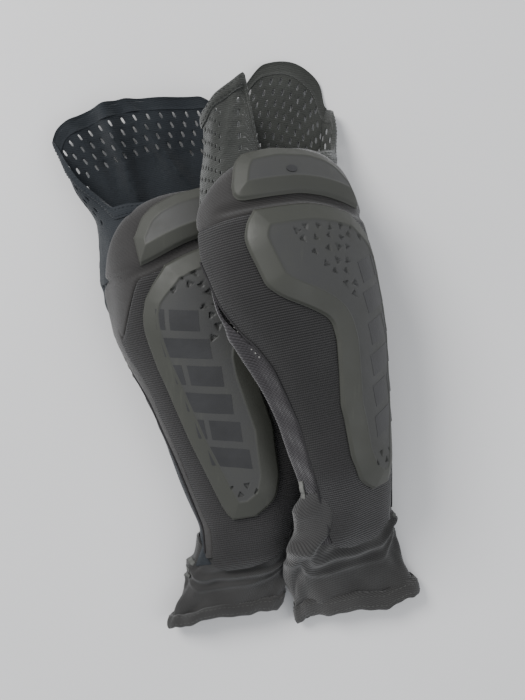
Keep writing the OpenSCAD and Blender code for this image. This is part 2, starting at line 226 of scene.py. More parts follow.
def arc_tables():
    """Distance round the skin from its front line, for each angle and place."""
    u = np.arange(-180, 181, 3.0)
    s = np.arange(0, GUARD_LEN + 6, 6.0)
    tables = []
    for g in (LEFT, RIGHT):
        v = skin(g, OUT_SIGN[g] * u[None, :], s[:, None])
        run = np.cumsum(np.linalg.norm(np.diff(v, axis=1), axis=-1), axis=1)
        run = np.concatenate([np.zeros((len(s), 1)), run], 1)
        tables.append(run - run[:, [60]])
    return tables


ARC = arc_tables()


def arc(g, u, s):
    i = np.clip((np.asarray(u, float) + 180) / 3, 0, 119.999)
    j = np.clip(np.asarray(s, float) / 6, 0, ARC[g].shape[0] - 1.001)
    a, b = i.astype(int), j.astype(int)
    p, q = i - a, j - b
    t = ARC[g]
    near = t[b, a] * (1 - p) + t[b, a + 1] * p
    far = t[b + 1, a] * (1 - p) + t[b + 1, a + 1] * p
    return near * (1 - q) + far * q


# ---------------------------------------------------------------- lines on a guard
def gap_s(u):
    """Line of the flex gap between the two plates."""
    v = (np.asarray(u, float) + 180) % 360 - 180
    behind = 282.5 + 13 * smooth((np.where(v < 0, v + 360, v) - 90) / 180)
    return np.where(np.abs(v) <= 90, 295.5 - 13 * smooth((v + 15) / 55), behind)


def pad_top(u):
    """Upper edge of the thigh pad."""
    return GUARD_LEN - 79 - np.where(u > 0, 52, 24) * (u / 90) ** 2


def rim(g, u):
    """Edge of the sleeve's mouth: tucked behind the pad in front, high at the back."""
    t = np.sin(np.radians(u))
    low = GUARD_LEN - 80
    if g == RIGHT:
        folded = 20 * smooth((-u - 10) / 30) + 10 * smooth((-u - 70) / 35)
        high = GUARD_LEN - 8 * t - 24 * t * t - folded * (1 - smooth((-u - 115) / 50))
        inner_rise = smooth((-u - 24) / 16)
    else:
        high = GUARD_LEN + 3 - t - 11 * t * t
        inner_rise = smooth((-u - 56) / 60)
    corner = (13, 12)[g] * np.exp(-((u - (98, 106)[g]) / 15) ** 2)
    rise = np.where(u < 0, inner_rise, smooth((u - 48) / 60))
    return low + (high - low) * rise - corner


def yoke_seam(u):
    """Seam between the fine knit round the knee and the ribbed knit of the shin."""
    inner = 2 * smooth((-u - 25) / 65)
    outer = 38 * smooth((u - 36) / 30)
    return gap_s(u) - FLEX_GAP / 2 - 1 - inner - outer


# ---------------------------------------------------------------- meshes
def grid_faces(rows, cols, wrap=False):
    j = np.arange(cols if wrap else cols - 1)
    i = np.arange(rows - 1)[:, None]
    a = i * cols + j
    b = i * cols + (j + 1) % cols
    return np.stack([a, b, b + cols, a + cols], -1).reshape(-1, 4)


def walled(outer, inner, faces):
    """Closed shell between two copies of the same faces, walled along their open edges."""
    n = len(outer)
    edges = np.concatenate([faces[:, [k, (k + 1) % 4]] for k in range(4)])
    key = edges[:, 0] * n + edges[:, 1]
    open_edges = edges[~np.isin(key, edges[:, 1] * n + edges[:, 0])]
    a, b = open_edges[:, 0], open_edges[:, 1]
    walls = np.stack([b, a, a + n, b + n], -1)
    return np.concatenate([outer, inner]), np.concatenate([faces, faces[:, ::-1] + n, walls])


def mesh_object(name, points, faces, uv=None, sharp=50, level=None):
    """Object from points in mm. uv is a pair of distances in mm for each point; where a face
    crosses the line behind the leg, its distances go on instead of jumping back."""
    mesh = bpy.data.meshes.new(name)
    mesh.from_pydata((points * MM).tolist(), [], faces.tolist())
    mesh.validate()
    mesh.shade_smooth()
    mesh.set_sharp_from_angle(angle=math.radians(sharp))
    corner = np.zeros(len(mesh.loops), np.int32)
    mesh.loops.foreach_get("vertex_index", corner)
    if uv is not None:
        at = uv[corner]
        first = np.zeros(len(mesh.polygons), np.int32)
        size = np.zeros(len(mesh.polygons), np.int32)
        mesh.polygons.foreach_get("loop_start", first)
        mesh.polygons.foreach_get("loop_total", size)
        face = np.repeat(np.arange(len(size)), size)
        low, high = np.minimum.reduceat(at[:, 0], first), np.maximum.reduceat(at[:, 0], first)
        jump = ((high - low) > 80)[face] & (at[:, 0] < 0)
        at[:, 0] += np.where(jump, (high - low)[face], 0)
        layer = mesh.uv_layers.new(name="cloth")
        layer.data.foreach_set("uv", (at * MM).astype(np.float32).ravel())
    if level is not None:
        shade = mesh.attributes.new("level", "FLOAT", "POINT")
        shade.data.foreach_set("value", level.astype(np.float32))
    obj = bpy.data.objects.new(name, mesh)
    bpy.context.collection.objects.link(obj)
    return obj


def patch_us(g, across, along, line):
    """Angles and places over a patch; line(p, q) gives them, with p from the inner side."""
    p, q = np.meshgrid(np.linspace(0, 1, across + 1), np.linspace(0, 1, along + 1))
    if g == LEFT:
        p = p[:, ::-1]
    return line(p, q)


def cloth(name, g, across, along, line, offset, thick=1.2, wrap=False, sharp=50, level=None):
    """A closed sheet on the skin; offset(u, s) is its outer face."""
    u, s = patch_us(g, across, along, line)
    if wrap:
        u, s = u[:, :-1], s[:, :-1]
    o = offset(u, s) if callable(offset) else offset + 0 * u
    uv = np.stack([arc(g, u, s), s], -1).reshape(-1, 2)
    faces = grid_faces(u.shape[0], u.shape[1], wrap)
    outer = off_skin(g, u, s, o).reshape(-1, 3)
    inner = off_skin(g, u, s, o - thick).reshape(-1, 3)
    inner[:, 2] = np.maximum(inner[:, 2], 0.3)
    outer[:, 2] = np.maximum(outer[:, 2], 0.0)
    points, faces = walled(outer, inner, faces)
    shade = None if level is None else np.tile(level(u, s).ravel(), 2)
    return mesh_object(name, points, faces, np.tile(uv, (2, 1)), sharp, shade)


def stitch_row(name, g, u, s, offset, length=2.2, wide=0.5, high=0.45, pitch=3.4):
    """Raised stitches along a line of angles and places, as one mesh."""
    path = off_skin(g, u, s, offset + 0 * u)
    path[:, 2] = np.maximum(path[:, 2], 0.5)
    up = off_skin(g, u, s, offset + 1 + 0 * u) - path
    run = np.concatenate([[0], np.cumsum(np.linalg.norm(np.diff(path, axis=0), axis=1))])
    marks = np.arange(pitch / 2, run[-1], pitch)
    at = lambda t, v: np.stack([np.interp(t, run, v[:, k]) for k in range(3)], -1)
    a, b, n = at(marks - length / 2, path), at(marks + length / 2, path), at(marks, up)
    side = np.cross(b - a, n)
    side /= np.linalg.norm(side, axis=1, keepdims=True)
    mid = (a + b) / 2
    rings = [a, a * 0.7 + b * 0.3, a * 0.3 + b * 0.7, b]
    points = []
    for centre, k in zip(rings, (0.3, 1, 1, 0.3)):
        for c, h in ((-1, 0), (-0.6, 1), (0.6, 1), (1, 0)):
            points.append(centre + side * wide * c * k / 2 + n * high * h * k)
    points = np.stack(points, 1)
    faces = []
    for r in range(3):
        for k in range(4):
            i, j = 4 * r + k, 4 * r + (k + 1) % 4
            faces.append([i, j, j + 4, i + 4])
    faces += [[3, 2, 1, 0], [12, 13, 14, 15]]
    faces = (np.array(faces)[None] + 16 * np.arange(len(mid))[:, None, None]).reshape(-1, 4)
    return mesh_object(name, points.reshape(-1, 3), faces[:, ::-1])


# ---------------------------------------------------------------- materials
class Nodes:
    """A material's node tree with short ways to add nodes."""

    def __init__(self, name):
        self.material = bpy.data.materials.new(name)
        self.material.use_nodes = True
        self.tree = self.material.node_tree
        self.shader = self.tree.nodes["Principled BSDF"]

    def feed(self, node, key, value):
        if isinstance(value, bpy.types.NodeSocket):
            self.tree.links.new(value, node.inputs[key])
        elif value is not None:
            node.inputs[key].default_value = value

    def math(self, kind, a, b=None, c=None):
        node = self.tree.nodes.new("ShaderNodeMath")
        node.operation = kind
        for k, value in enumerate((a, b, c)):
            self.feed(node, k, value)
        return node.outputs[0]

    def uv(self):
        at = self.tree.nodes.new("ShaderNodeUVMap")
        at.uv_map = "cloth"
        split = self.tree.nodes.new("ShaderNodeSeparateXYZ")
        self.feed(split, 0, at.outputs[0])
        return split.outputs[0], split.outputs[1]

    def place(self):
        return self.tree.nodes.new("ShaderNodeTexCoord").outputs["Object"]

    def noise(self, scale, detail=3.0, rough=0.5, stretch=None):
        where = self.place()
        if stretch is not None:
            scaled = self.tree.nodes.new("ShaderNodeVectorMath")
            scaled.operation = "MULTIPLY"
            self.feed(scaled, 0, where)
            scaled.inputs[1].default_value = stretch
            where = scaled.outputs[0]
        node = self.tree.nodes.new("ShaderNodeTexNoise")
        self.feed(node, "Vector", where)
        node.inputs["Scale"].default_value = scale
        node.inputs["Detail"].default_value = detail
        node.inputs["Roughness"].default_value = rough
        return node.outputs[0]

    def mix(self, factor, a, b):
        node = self.tree.nodes.new("ShaderNodeMix")
        node.data_type = "RGBA"
        self.feed(node, 0, factor)
        self.feed(node, 6, a)
        self.feed(node, 7, b)
        return node.outputs[2]

    def span(self, value, low, high):
        node = self.tree.nodes.new("ShaderNodeMapRange")
        self.feed(node, 0, value)
        node.inputs[1].default_value = low
        node.inputs[2].default_value = high
        return node.outputs[0]

    def attribute(self, name):
        node = self.tree.nodes.new("ShaderNodeAttribute")
        node.attribute_name = name
        return node.outputs["Fac"]

    def bump(self, height, distance, strength=1.0):
        node = self.tree.nodes.new("ShaderNodeBump")
        self.feed(node, "Height", height)
        node.inputs["Distance"].default_value = distance
        node.inputs["Strength"].default_value = strength
        self.feed(self.shader, "Normal", node.outputs[0])

    def wave(self, value, pitch):
        """0 to 1 and back over each pitch."""
        turned = self.math("SINE", self.math("MULTIPLY", value, math.pi / (pitch * MM)))
        return self.math("ABSOLUTE", turned)


def rgba(colour, k=1.0):
    """The colour scaled by k, with full alpha."""
    return (colour[0] * k, colour[1] * k, colour[2] * k, 1.0)


def rib_weave(n, pitch=1.6, cross=1.3):
    u, v = n.uv()
    ribs = n.wave(v, pitch)
    cells = n.wave(u, cross)
    return n.math("MULTIPLY", ribs, n.math("MULTIPLY_ADD", cells, 0.35, 0.65))


def fine_weave(n, pitch=0.95):
    u, v = n.uv()
    slant = n.math("ADD", u, n.math("MULTIPLY", v, 0.5))
    return n.math("MULTIPLY", n.wave(v, pitch), n.math("MULTIPLY_ADD", n.wave(slant, pitch), 0.5, 0.5))


def twill_weave(n, pitch=1.7):
    u, v = n.uv()
    slant = n.math("ADD", u, v)
    across = n.math("SUBTRACT", u, v)
    return n.math("MULTIPLY", n.wave(slant, pitch), n.math("MULTIPLY_ADD", n.wave(across, 3.1), 0.4, 0.6))


def cuff_weave(n, pitch=1.5):
    u, v = n.uv()
    slant = n.math("ADD", v, n.math("MULTIPLY", u, 0.6))
    return n.math("MULTIPLY", n.wave(slant, pitch), n.math("MULTIPLY_ADD", n.wave(u, 1.2), 0.4, 0.6))


def fuzz_weave(n):
    u, v = n.uv()
    loops = n.math("MULTIPLY", n.wave(u, 1.0), n.wave(v, 1.4))
    return n.math("MULTIPLY_ADD", n.noise(900, 2), 0.6, n.math("MULTIPLY", loops, 0.4))


def fabric(name, colour, weave, depth=0.35, contrast=0.55, rough=0.85, sheen=0.25, tint=None):
    """Cloth: the weave shades the colour and lifts the surface, over slow changes of tone."""
    n = Nodes(name)
    threads = weave(n)
    tone = n.span(n.noise(28, 4, 0.6), 0.3, 0.75)
    light = n.mix(tone, rgba(colour, 1.0), rgba(tint or colour, 1.35))
    n.feed(n.shader, "Base Color", n.mix(threads, rgba(colour, 1 - contrast), light))
    n.shader.inputs["Roughness"].default_value = rough
    n.shader.inputs["Sheen Weight"].default_value = sheen
    n.shader.inputs["Sheen Roughness"].default_value = 0.45
    n.shader.inputs["Specular IOR Level"].default_value = 0.25
    lift = n.math("MULTIPLY_ADD", n.noise(420, 2), 0.25, threads)
    n.bump(lift, depth * MM)
    return n.material


def moulded(name, bevel, centre, rough=0.48):
    """Satin moulded polymer: bevels in a tone of their own, fine grain, and lighter streaks."""
    n = Nodes(name)
    level = n.attribute("level")
    cloud = n.span(n.noise(36, 5, 0.65), 0.35, 0.7)
    body = n.mix(level, rgba(bevel), rgba(centre))
    body = n.mix(n.math("MULTIPLY", cloud, 0.35), body, rgba(bevel, 1.4))
    streaks = n.span(n.noise(60, 3, 0.6, (3.0, 0.4, 1.0)), 0.62, 0.74)
    n.feed(n.shader, "Base Color", n.mix(n.math("MULTIPLY", streaks, 0.3), body, rgba(bevel, 1.9)))
    n.feed(n.shader, "Roughness", n.math("MULTIPLY_ADD", cloud, 0.18, rough))
    n.shader.inputs["Specular IOR Level"].default_value = 0.42
    n.bump(n.noise(1400, 2), 0.08 * MM)
    return n.material


def plain(name, colour, rough=0.6, grain=700, depth=0.1, spec=0.4):
    n = Nodes(name)
    tone = n.span(n.noise(45, 4, 0.6), 0.3, 0.7)
    n.feed(n.shader, "Base Color", n.mix(tone, rgba(colour, 0.85), rgba(colour, 1.25)))
    n.shader.inputs["Roughness"].default_value = rough
    n.shader.inputs["Specular IOR Level"].default_value = spec
    n.bump(n.noise(grain, 3), depth * MM)
    return n.material


def foam_material():
    n = Nodes("impact_foam")
    cells = n.tree.nodes.new("ShaderNodeTexVoronoi")
    n.feed(cells, "Vector", n.place())
    cells.inputs["Scale"].default_value = 700
    tone = n.span(cells.outputs[0], 0.0, 0.8)
    n.feed(n.shader, "Base Color", n.mix(tone, (0.012, 0.012, 0.013, 1), (0.03, 0.03, 0.032, 1)))
    n.shader.inputs["Roughness"].default_value = 0.9
    n.bump(cells.outputs[0], 0.3 * MM)
    return n.material


MATERIALS = {
    "cuff_knit": fabric("cuff_knit", (0.041, 0.040, 0.039), cuff_weave, 0.4, 0.6),
    "ribbed_knit": fabric("ribbed_knit", (0.030, 0.029, 0.029), rib_weave, 0.6, 0.8, 0.9, 0.2),
    "fine_knit": fabric("fine_knit", (0.032, 0.030, 0.029), fine_weave, 0.25, 0.5, 0.9, 0.35),
    "side_twill": fabric("side_twill", (0.040, 0.037, 0.040), twill_weave, 0.4, 0.65),
    "liner_knit": fabric("liner_knit", (0.016, 0.016, 0.018), fine_weave, 0.2),
    "sleeve_mesh": fabric("sleeve_mesh", (0.021, 0.024, 0.029), fuzz_weave, 0.5, 0.4, 0.95, 0.5,
                          (0.032, 0.035, 0.033)),
    "hem_knit": fabric("hem_knit", (0.030, 0.033, 0.032), fuzz_weave, 0.4, 0.4, 0.9, 0.4),
    "piping_cord": plain("piping_cord", (0.024, 0.023, 0.024), 0.85, 1200, 0.2, 0.2),
    "plate_polymer": moulded("plate_polymer", (0.033, 0.034, 0.028), (0.036, 0.036, 0.0355)),
    "plate_inlay": plain("plate_inlay", (0.021, 0.021, 0.022), 0.46),
    "print_rubber": plain("print_rubber", (0.055, 0.057, 0.052), 0.55),
    "tag_rubber": plain("tag_rubber", (0.13, 0.13, 0.12), 0.5),
    "impact_foam": foam_material(),
    "grip_silicone": plain("grip_silicone", (0.012, 0.012, 0.012), 0.35),
}
# Painted shade and light: two copies of the same sleeve fabric. The darker one, for the left guard, is
# painted shade; the paler one, for the right guard, is painted light.
SLEEVE_PAINTED_SHADE_AND_LIGHT = (
    fabric("sleeve_mesh_painted_shade", (0.019, 0.023, 0.028), fuzz_weave, 0.5, 0.4, 0.95, 0.14,
           (0.026, 0.030, 0.034)),
    fabric("sleeve_mesh_painted_light", (0.030, 0.032, 0.029), fuzz_weave, 0.5, 0.4, 0.95, 0.5,
           (0.040, 0.042, 0.037)),
)
thread_pale = plain("thread_pale", (0.32, 0.32, 0.30), 0.7)
thread_dark = plain("thread_dark", (0.065, 0.065, 0.062), 0.7)


def put(obj, g, body, slot, replaced=(), thread_and_painted_light=None):
    """Give a piece its material and the body it rides on; a piece across the knee or the ankle keeps its
    place, with its transform baked in.
    """
    side = SIDES[g]
    obj.data.materials.append(thread_and_painted_light or MATERIALS[slot])
    if body == "knee":
        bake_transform(obj)
    elif body == "ankle":
        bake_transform(obj)
    else:
        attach(obj, f"{side}_{body}")
    if replaced:
        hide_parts(*[f"{side}_{name}" for name in replaced])
    return obj


# ---------------------------------------------------------------- plates
def boundary_distance(x, y):
    """Distance of each point of a grid from the grid's own outline."""
    ring = np.concatenate([
        np.stack([x[0], y[0]], -1), np.stack([x[:, -1], y[:, -1]], -1),
        np.stack([x[-1, ::-1], y[-1, ::-1]], -1), np.stack([x[::-1, 0], y[::-1, 0]], -1)])[::3]
    a, b = ring, np.roll(ring, -1, 0)
    d = b - a
    length = np.maximum((d ** 2).sum(1), 1e-9)
    best = np.full(x.size, 1e9)
    p = np.stack([x.ravel(), y.ravel()], -1)
    for k in range(len(a)):
        t = np.clip(((p - a[k]) @ d[k]) / length[k], 0, 1)
        best = np.minimum(best, np.hypot(*(p - a[k] - t[:, None] * d[k]).T))
    return best.reshape(x.shape)


def triangle_dents(x, y, spots):
    """How far each point is inside small triangular dents, from 0 to 1."""
    dent = np.zeros_like(x)
    for cx, cy, size, turn in spots:
        near = np.full_like(x, -1e9)
        for k in range(3):
            a = turn + k * 2 * math.pi / 3
            near = np.maximum(near, (x - cx) * math.cos(a) + (y - cy) * math.sin(a) - size / 2)
        dent = np.maximum(dent, smooth((0.3 - near) / 0.6))
    return dent


# Slanted bars down the plate: first place, pitch, first angle and its step from bar to bar
BAR_S, BAR_PITCH, BAR_AT, BAR_STEP, BARS = 131, 20.5, (-13, -9), 3.4, 6


def dent_spots(g):
    """Scattered triangles over the knee cap, and a few near the tip."""
    rng = np.random.default_rng(11)
    spots = []
    for i in range(13):
        for j in range(8):
            x = -35.4 + 9.4 * j + 4.7 * (i % 2)
            s = 281 - 7.6 * i
            x, s = x + rng.uniform(-1.5, 1.5), s + rng.uniform(-1.5, 1.5)
            size, turn = rng.uniform(2.3, 3.2), rng.choice([0, math.pi / 2, math.pi, -math.pi / 2])
            beside_bars = s > 262 or x < BAR_AT[g] + BAR_STEP * (s - BAR_S) / BAR_PITCH - 4
            if s > 246 - (x + 20) * 1.3 and -37 < x < 34 and s > 190 and beside_bars:
                spots.append((x, s, size, turn))
    for i in range(5):
        spots.append((-12 + 5.5 * i, 114 + 6 * (i % 2), 2.4, math.pi / 2 if i % 2 else -math.pi / 2))
    return spots


DENTS = (dent_spots(LEFT), dent_spots(RIGHT))


def shin_plate_line(p, q):
    s = 95 + 197 * q
    u = look(s, PLATE_INNER, soft=2.5) * (1 - p) + look(s, PLATE_OUTER, soft=2.5) * p
    return u, 95 + (gap_s(u) - FLEX_GAP / 2 - 95) * q


def plate_mesh(name, g, across, along, line, bevel, high, centre_drop, dents=()):
    """A moulded plate: a rounded lip, a long bevel and a flat centre set slightly down."""
    u, s = patch_us(g, across, along, line)
    x = arc(g, u, s)
    d = boundary_distance(x, s)
    lip = 1.0 + 1.9 * smooth(d / 1.8)
    rise = (high - 2.9) * np.clip((d - 1.2) / bevel, 0, 1)
    inside = smooth((d - bevel - 1.2) / 1.4)
    o = lip + rise - centre_drop * inside
    if len(dents):
        o = o - 1.3 * triangle_dents(x, s, dents) * inside
    uv = np.stack([x, s], -1).reshape(-1, 2)
    outer = off_skin(g, u, s, o).reshape(-1, 3)
    inner = off_skin(g, u, s, 0.4 + 0 * u).reshape(-1, 3)
    points, faces = walled(outer, inner, grid_faces(*u.shape))
    return mesh_object(name, points, faces, np.tile(uv, (2, 1)), 38, np.tile(inside.ravel(), 2))


def shin_plate(g):
    plate = plate_mesh(f"{SIDES[g]}_moulded_shin_plate", g, 130, 270, shin_plate_line,
                       bevel=12, high=6.4, centre_drop=0.5, dents=DENTS[g])
    return put(plate, g, "shin", "plate_polymer", ["shin_plate"])


def plate_bars(g):
    """Generic slanted bars raised down the plate, long and short by turns."""
    side = SIDES[g]
    made = []
    for i in range(BARS):
        s0, near = BAR_S + BAR_PITCH * i, BAR_AT[g] + BAR_STEP * i
        room = float(look(s0 + 8, PLATE_OUTER)) - 11 - near
        for k, (a, b) in enumerate(((0, 0.66), (0.78, 1)) if i % 2 else ((0, 1),)):
            a, b = a * room, b * room
            line = lambda p, q: (near + a + (b - a) * p, s0 + 14 * q + 0.3 * (a + (b - a) * p))
            made.append(cloth(f"{side}_bar_{i}_{k}", g, 10, 5, line, 6.05, 0.8, sharp=30))
    bars = joined(made, f"{side}_plate_bars")
    return put(bars, g, "shin", "plate_inlay", ["shin_plate_bars"])


def joined(objects, name):
    """One object from several, with their meshes merged."""
    bpy.ops.object.select_all(action="DESELECT")
    for obj in objects:
        obj.select_set(True)
    bpy.context.view_layer.objects.active = objects[0]
    bpy.ops.object.join()
    objects[0].name = name
    return objects[0]


def thigh_plate_line(p, q):
    u = -57 + 91 * p
    corner = 5.5 * np.exp(-(u + 57) / 2.6)
    low = gap_s(u) + FLEX_GAP / 2 + corner
    return u, low + (look(u, THIGH_PLATE_TOP, soft=2.0) + 2 - corner - low) * q


def thigh_plate(g):
    plate = plate_mesh(f"{SIDES[g]}_moulded_thigh_plate", g, 130, 52, thigh_plate_line,
                       bevel=8, high=6.8, centre_drop=0.3)
    return put(plate, g, "thigh", "plate_polymer", ["thigh_plate"])


def thigh_badge(g):
    def line(p, q):
        across = np.sqrt(np.maximum(0.05, 1 - (2 * q - 1) ** 2))
        return -14 + 7 * (p - 0.5) * across, 311 + 5 * q

    badge = cloth(f"{SIDES[g]}_oval_badge", g, 8, 8, line, 6.95, 0.8, sharp=30)
    return put(badge, g, "thigh", "plate_inlay", ["thigh_plate_badge"])


# ---------------------------------------------------------------- cloth over the pads
def flank_slack(g, u, s):
    """Loose cloth on the table beside the left guard's knee."""
    return 8.5 * hump(s, 285, 52) * hump(u, 102, 15) * (g == LEFT)


def ripple(g, u, s, size):
    """Slow unevenness of cloth over foam."""
    a = np.sin(u / 17 + s / 23 + g) + np.sin(u / 9 - s / 31 + 2 * g) * 0.6
    return size * a * np.sin(s / 41 + u / 37)


def ribbed_cover(g):
    reach = 300

    def line(p, q):
        s = PAD_END + (reach - PAD_END) * q
        u = look(s, COVER_INNER, soft=3) * (1 - p) + look(s, RIB_OUTER, soft=3) * p
        return u, PAD_END + (yoke_seam(u) - PAD_END) * q

    def offset(u, s):
        tip = 2.2 * hump(s, 60, 9)
        seam = -1.2 * np.exp(-(yoke_seam(u) - s) / 1.6)
        return 0.1 + ripple(g, u, s, 0.55) + tip + seam + flank_slack(g, u, s)

    cover = cloth(f"{SIDES[g]}_ribbed_cover", g, 90, 150, line, offset, 1.5)
    return put(cover, g, "knee", "ribbed_knit", ["front_cover", "flex_gusset"])


def outer_crescent(g):
    """Fine knit down the outer edge of the shin, beside the ribbed knit."""
    def line(p, q):
        s = 68 + 178 * q
        near, far = look(s, RIB_OUTER, soft=3) - 0.5, look(s, COVER_OUTER, soft=3) + 1
        return near + (far - near) * p, s

    def offset(u, s):
        seam = -1.0 * np.exp(-(u - look(s, RIB_OUTER, soft=3)) / 1.2)
        return 0.15 + ripple(g, u, s, 0.5) + seam + flank_slack(g, u, s)

    crescent = cloth(f"{SIDES[g]}_outer_crescent", g, 26, 100, line, offset, 1.5)
    return put(crescent, g, "shin", "fine_knit")


def knee_knit(g):
    """Fine knit from the yoke seam, across the flex gap, to the top of the thigh pad."""
    def line(p, q):
        u = -106 + 196 * p
        low = yoke_seam(u)
        return u, low + (np.maximum(low + 4, pad_top(u)) - low) * q

    def offset(u, s):
        trough = np.where(u > -62, 1.0, smooth((u + 80) / 18))
        gap = -2.0 * trough * hump(s, gap_s(u), 3.2)
        seam = -1.2 * np.exp(-(s - yoke_seam(u)) / 1.6)
        edge = -3.2 * np.exp(-np.maximum(pad_top(u) - s, 0) / 3.0)
        return 0.1 + gap + seam + edge + ripple(g, u, s, 0.4) + flank_slack(g, u, s)

    knit = cloth(f"{SIDES[g]}_knee_knit", g, 96, 60, line, offset, 1.5)
    return put(knit, g, "knee", "fine_knit", ["thigh_cover"])


def side_panel(g, side):
    """Twill from the edge of the ribbed cover round the flank; side is -1 inner, 1 outer."""
    edge = COVER_INNER if side < 0 else COVER_OUTER

    def line(p, q):
        reach = 62 + 238 * q
        tucked = 10 * smooth((reach - 235) / 25) * (side > 0)
        near = look(reach, edge, soft=3) + side * 1.2 - tucked
        far = side * 152
        u = far + (near - far) * p if side < 0 else near + (far - near) * p
        return u, 62 + (gap_s(u) - 61 - 1) * q

    def offset(u, s):
        away = np.abs(u - look(s, edge, soft=3))
        loose = 7.5 * hump(s, 214, 34) + 2.5 * hump(s, 140, 30)
        slack = loose * hump(np.abs(u), 104, 11) * (side < 0) * (g == RIGHT)
        pucker = 0.7 * np.sin(s / 3.4 + u / 9) * hump(away, 9, 7)
        seam = -1.6 * np.exp(-away / 1.5)
        return -1.0 + seam + ripple(g, u, s, 0.9) + slack + pucker + flank_slack(g, u, s)

    name = "inner" if side < 0 else "outer"
    panel = cloth(f"{SIDES[g]}_{name}_twill", g, 50, 110, line, offset, 1.4)
    # Painted shade: the left guard's outer twill takes the darker copy of the sleeve fabric, standing for
    # the shade on that flank.
    thread_and_painted_light = SLEEVE_PAINTED_SHADE_AND_LIGHT[LEFT] if g == LEFT and side > 0 else None
    return put(panel, g, "knee", "side_twill", [f"{name}_side_panel"], thread_and_painted_light)


def piping(g, side):
    """Corded piping along the edge of the ribbed cover, with pale stitches beside it."""
    edge = COVER_INNER if side < 0 else COVER_OUTER
    name = "inner" if side < 0 else "outer"
    around = np.linspace(0, 2 * math.pi, 9)[:-1]
    s = np.linspace(72, 268, 120)
    u = look(s, edge, soft=3) + side * 0.6
    centre = off_skin(g, u, s, 0.5 + 0 * s)
    up = off_skin(g, u, s, 1.5 + 0 * s) - centre
    along = np.gradient(centre, axis=0)
    across = np.cross(along, up)
    across /= np.linalg.norm(across, axis=1, keepdims=True)
    ring = [centre + 0.75 * (across * math.cos(a) + up * math.sin(a)) for a in around]
    points = np.stack(ring, 1).reshape(-1, 3)
    faces = grid_faces(len(s), len(around), wrap=True)
    cord = mesh_object(f"{SIDES[g]}_{name}_piping_cord", points, faces)
    put(cord, g, "shin", "piping_cord", [f"{name}_piping"])
    s = np.linspace(198, 234, 40)
    u = look(s, edge, soft=3) + side * 5
    dots = stitch_row(f"{SIDES[g]}_{name}_edge_stitches", g, u, s, -0.1 + 0 * s,
                      1.2, 0.6, 0.6, 3.6)
    put(dots, g, "shin", "piping_cord", thread_and_painted_light=thread_pale if side < 0 else thread_dark)


def tag(g, name, u0, u1, s0, s1):
    """Rubber tag with three ridges, sewn in at the edge."""
    line = lambda p, q: (u0 + (u1 - u0) * p, s0 + (s1 - s0) * q)
    ridge = lambda u, s: 1.2 + 0.25 * np.sign(np.sin((s - s0) / (s1 - s0) * 6 * math.pi))
    piece = cloth(f"{SIDES[g]}_{name}_rubber_tag", g, 6, 24, line, ridge, 1.2, sharp=30)
    return put(piece, g, "shin", "tag_rubber", [f"{name}_tag"])


def back_mesh(g):
    """Mesh behind the calf and the knee, lying on what is below the guard."""
    line = lambda p, q: (150 + 60 * p, 62 + (gap_s(150 + 60 * p) - 61) * q)
    back = cloth(f"{SIDES[g]}_back_mesh", g, 24, 80, line, 0.0, 1.0)
    return put(back, g, "knee", "sleeve_mesh", ["back_panel", "knee_crease_panel"])


# ---------------------------------------------------------------- sleeve above the knee
# Folds standing up inside each sleeve: angle, lean for each mm, height and width in degrees
TWISTS = (((152, 0.3, 8.0, 8), (-166, -0.2, 6.0, 7), (128, 0.1, 3.5, 7)), ())
SLEEVE_COLUMNS, SLEEVE_ROWS = 66, 16
# Slots: share of a column's half width, and half length in mm, single and doubled over
SLOT, FOLDED_SLOT = (0.14, 1.8), (0.09, 1.1)
SLOT_BAND = (42, 78)
LEAST_ROW, TIGHT_ROW = 4.2, 4.6
SLEEVE_THICK = 0.9


def drape(g, u, s):
    """Folds of the loose sleeve: stronger towards the mouth, calm at the back."""
    loose = smooth((s - 300) / 70)
    lip = hump(s, 360, 27) * 7 if g == LEFT else smooth((s - 345) / 60) * 6
    outward = lip * hump(u, 100, 34)
    wave = (np.sin(np.radians(u) * 5 + s / 26 + 1.3 * g) + 0.7 * np.sin(np.radians(u) * 9 - s / 17 + 2)
            + 0.5 * np.sin(np.radians(u) * 3 + s / 12))
    calm = np.where(g == RIGHT, 0.35 + 0.65 * smooth((150 - np.abs(u)) / 60), 1.0)
    crease = 3.0 * np.exp(-((u - (-62 + (s - 330) * 0.35)) / 6) ** 2)
    twist = 0
    for at, lean, size, width in TWISTS[g]:
        away = (u - at - lean * (s - 370) + 180) % 360 - 180
        twist = twist - size * np.exp(-(away / width) ** 2)
    return loose * (1.3 * wave * calm + crease + twist) + outward + flank_slack(g, u, s)


def sleeve_foot(u):
    """Where the sleeve starts: at the knee behind, and under the pad's upper edge in front."""
    covered = smooth((u + 106) / 10) * smooth((80 - u) / 10)
    return gap_s(u) - 0.5 + (pad_top(u) - 8 - gap_s(u)) * covered


def sleeve_offset(g, u, s):
    hidden = smooth((u + 108) / 8) * smooth((84 - u) / 8)
    near_foot = 1 - smooth((s - sleeve_foot(u)) / 22)
    lift = -3.0 + 2.2 * near_foot * (1 - hidden) - 1.5 * smooth((36 - np.abs(u)) / 12)
    return lift + drape(g, u, s)


